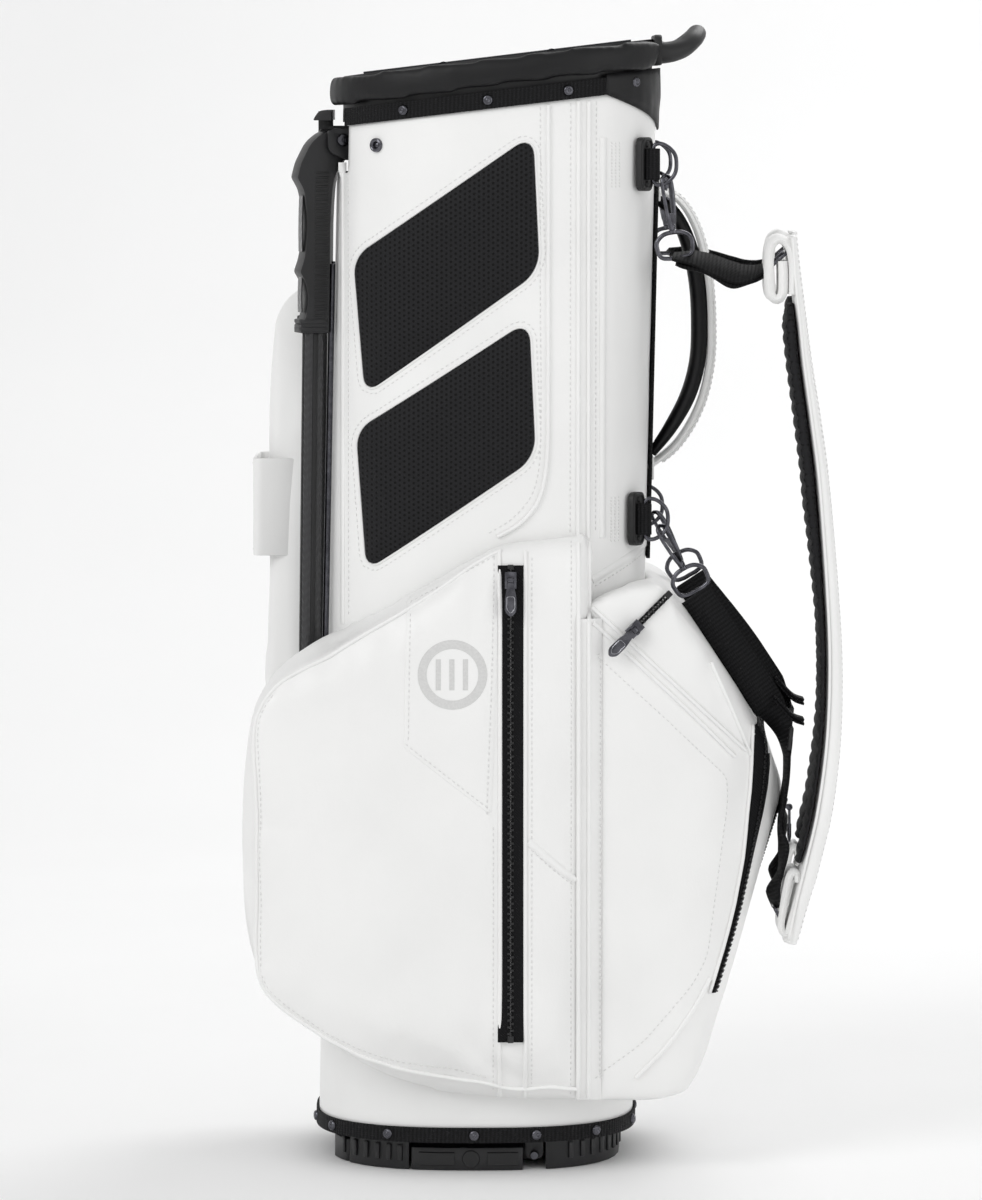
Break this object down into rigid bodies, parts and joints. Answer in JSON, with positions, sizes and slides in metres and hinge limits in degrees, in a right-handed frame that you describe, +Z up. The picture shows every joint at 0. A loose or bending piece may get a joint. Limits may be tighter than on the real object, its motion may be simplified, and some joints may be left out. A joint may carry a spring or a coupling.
{
  "type": "golf stand bag",
  "caption": "Oval golf bag with a divided cuff, zipped side and ball pockets, hip pads, grab and lift handles, twin carry straps, and fold-out legs worked by a hinged foot plate.",
  "frame": {"origin": "middle of the base's outline on the floor, on the flat underside of the foot plate", "axes": "+Z up the bag, +X towards the carry straps and the ball pocket, -X towards the legs, +Y away from the viewer's side with the hip pads"},
  "size_m": [0.4714, 0.3228, 0.902],
  "materials": {
    "white_leather": "satin",
    "black_plastic": "satin",
    "black_webbing": "matte",
    "black_mesh": "matte",
    "black_padding": "satin",
    "carbon_look": "woven pattern under a satin coat",
    "rubber": "matte",
    "gunmetal": "polished",
    "aluminium": "satin"
  },
  "bodies": {
    "bag": {"near_stay": "aluminium", "near_leg_pin": "gunmetal", "near_lower_ring_tab": "black_plastic", "near_upper_ring_tab": "black_plastic", "far_stay": "aluminium", "far_leg_pin": "gunmetal", "far_pocket": "white_leather", "pocket_loop": "white_leather", "far_zip_tape": "black_webbing", "far_lower_ring_tab": "black_plastic", "far_upper_ring_tab": "black_plastic", "base_shell": "black_plastic", "foot_plate_pin": "gunmetal", "base_band": "black_webbing", "body_shell": "white_leather", "divider_cuff": "black_plastic", "cuff_band": "black_webbing", "cuff_pad": "black_padding", "lift_handle": "black_plastic", "leg_bracket": "black_plastic", "near_pocket": "white_leather", "ball_pocket": "white_leather", "hip_pad_upper": "black_mesh", "hip_pad_lower": "black_mesh", "near_zip_tape": "black_webbing", "ball_zip_tape": "black_webbing", "valuables_zip_tape": "black_webbing", "grab_handle": "white_leather"},
    "near_leg": {"near_leg_casting": "black_plastic", "near_leg_tube": "carbon_look", "near_leg_foot": "rubber"},
    "near_push_rod": {"near_push_rod": "gunmetal"},
    "near_strap": {"near_upper_ring": "gunmetal", "near_lower_ring": "gunmetal", "near_upper_hook": "gunmetal", "near_lower_hook": "gunmetal", "near_upper_webbing": "black_webbing", "near_lower_webbing": "black_webbing", "near_strap_pad": "white_leather"},
    "far_leg": {"far_leg_casting": "black_plastic", "far_leg_tube": "carbon_look", "far_leg_foot": "rubber"},
    "far_push_rod": {"far_push_rod": "gunmetal"},
    "far_strap": {"far_upper_ring": "gunmetal", "far_lower_ring": "gunmetal", "far_upper_hook": "gunmetal", "far_lower_hook": "gunmetal", "far_upper_webbing": "black_webbing", "far_lower_webbing": "black_webbing", "far_strap_pad": "white_leather"},
    "foot_plate": {"foot_plate": "black_plastic"},
    "near_zip_slider": {"near_zip_slider": "gunmetal"},
    "near_zip_puller": {"near_zip_puller": "gunmetal"},
    "far_zip_slider": {"far_zip_slider": "gunmetal"},
    "far_zip_puller": {"far_zip_puller": "gunmetal"},
    "ball_zip_slider": {"ball_zip_slider": "gunmetal"},
    "ball_zip_puller": {"ball_zip_puller": "gunmetal"},
    "valuables_zip_slider": {"valuables_zip_slider": "gunmetal"},
    "valuables_zip_puller": {"valuables_zip_puller": "gunmetal"}
  },
  "joints": [
    {"name": "near_leg_swing", "type": "hinge", "parent": "bag", "child": "near_leg", "pos_m": [-0.108, -0.032, 0.8096], "axis": [-0.2756, 0.9613, 0], "range_deg": [0, 28]},
    {"name": "far_leg_swing", "type": "hinge", "parent": "bag", "child": "far_leg", "pos_m": [-0.108, 0.032, 0.8096], "axis": [0.2756, 0.9613, 0], "range_deg": [0, 28]},
    {"name": "foot_plate_tilt", "type": "hinge", "parent": "bag", "child": "foot_plate", "pos_m": [0.047, 0, 0.011], "axis": [0, 1, 0], "range_deg": [0, 4.71]},
    {"name": "near_rod_tilt", "type": "hinge", "parent": "foot_plate", "child": "near_push_rod", "pos_m": [-0.104, -0.034, 0.013], "axis": [0.1208, -0.9927, 0], "range_deg": [0, 8.24]},
    {"name": "far_rod_tilt", "type": "hinge", "parent": "foot_plate", "child": "far_push_rod", "pos_m": [-0.104, 0.034, 0.013], "axis": [-0.1208, -0.9927, 0], "range_deg": [0, 8.24]},
    {"name": "near_zip_slide", "type": "slide", "parent": "bag", "child": "near_zip_slider", "axis": [0, -0.0562, -0.9984], "range_m": [0, 0.345]},
    {"name": "near_puller_swing", "type": "hinge", "parent": "near_zip_slider", "child": "near_zip_puller", "pos_m": [0.028, -0.14921, 0.47158], "axis": [-1, 0, 0], "range_deg": [0, 120]},
    {"name": "far_zip_slide", "type": "slide", "parent": "bag", "child": "far_zip_slider", "axis": [0, 0.0375, -0.9993], "range_m": [0, 0.535]},
    {"name": "far_puller_swing", "type": "hinge", "parent": "far_zip_slider", "child": "far_zip_puller", "pos_m": [0.028, 0.14903, 0.66139], "axis": [1, 0, 0], "range_deg": [0, 120]},
    {"name": "ball_zip_slide", "type": "slide", "parent": "bag", "child": "ball_zip_slider", "axis": [-0.3057, 0, -0.9521], "range_m": [0, 0.135]},
    {"name": "ball_puller_swing", "type": "hinge", "parent": "ball_zip_slider", "child": "ball_zip_puller", "pos_m": [0.24935, -0.052, 0.28244], "axis": [0, -1, 0], "range_deg": [-17, 10]},
    {"name": "valuables_zip_slide", "type": "slide", "parent": "bag", "child": "valuables_zip_slider", "axis": [0.7063, 0.0471, 0.7063], "range_m": [0, 0.03]},
    {"name": "valuables_puller_swing", "type": "hinge", "parent": "valuables_zip_slider", "child": "valuables_zip_puller", "pos_m": [0.12441, -0.14006, 0.4318], "axis": [-0.7051, -0.0423, 0.7079], "range_deg": [0, 120]},
    {"name": "near_strap_swing", "type": "hinge", "parent": "bag", "child": "near_strap", "pos_m": [0.1338, -0.0732, 0.513], "axis": [-0.0212, 0, -0.9998], "range_deg": [0, 10]},
    {"name": "far_strap_swing", "type": "hinge", "parent": "bag", "child": "far_strap", "pos_m": [0.1338, 0.0732, 0.513], "axis": [0.0212, 0, 0.9998], "range_deg": [0, 10]}
  ],
  "couplings": [
    {"joint": "far_leg_swing", "follows": "near_leg_swing", "ratio": 1},
    {"joint": "foot_plate_tilt", "follows": "near_leg_swing", "ratio": 0.1682},
    {"joint": "near_rod_tilt", "follows": "near_leg_swing", "ratio": 0.2943},
    {"joint": "far_rod_tilt", "follows": "near_leg_swing", "ratio": 0.2943}
  ]
}
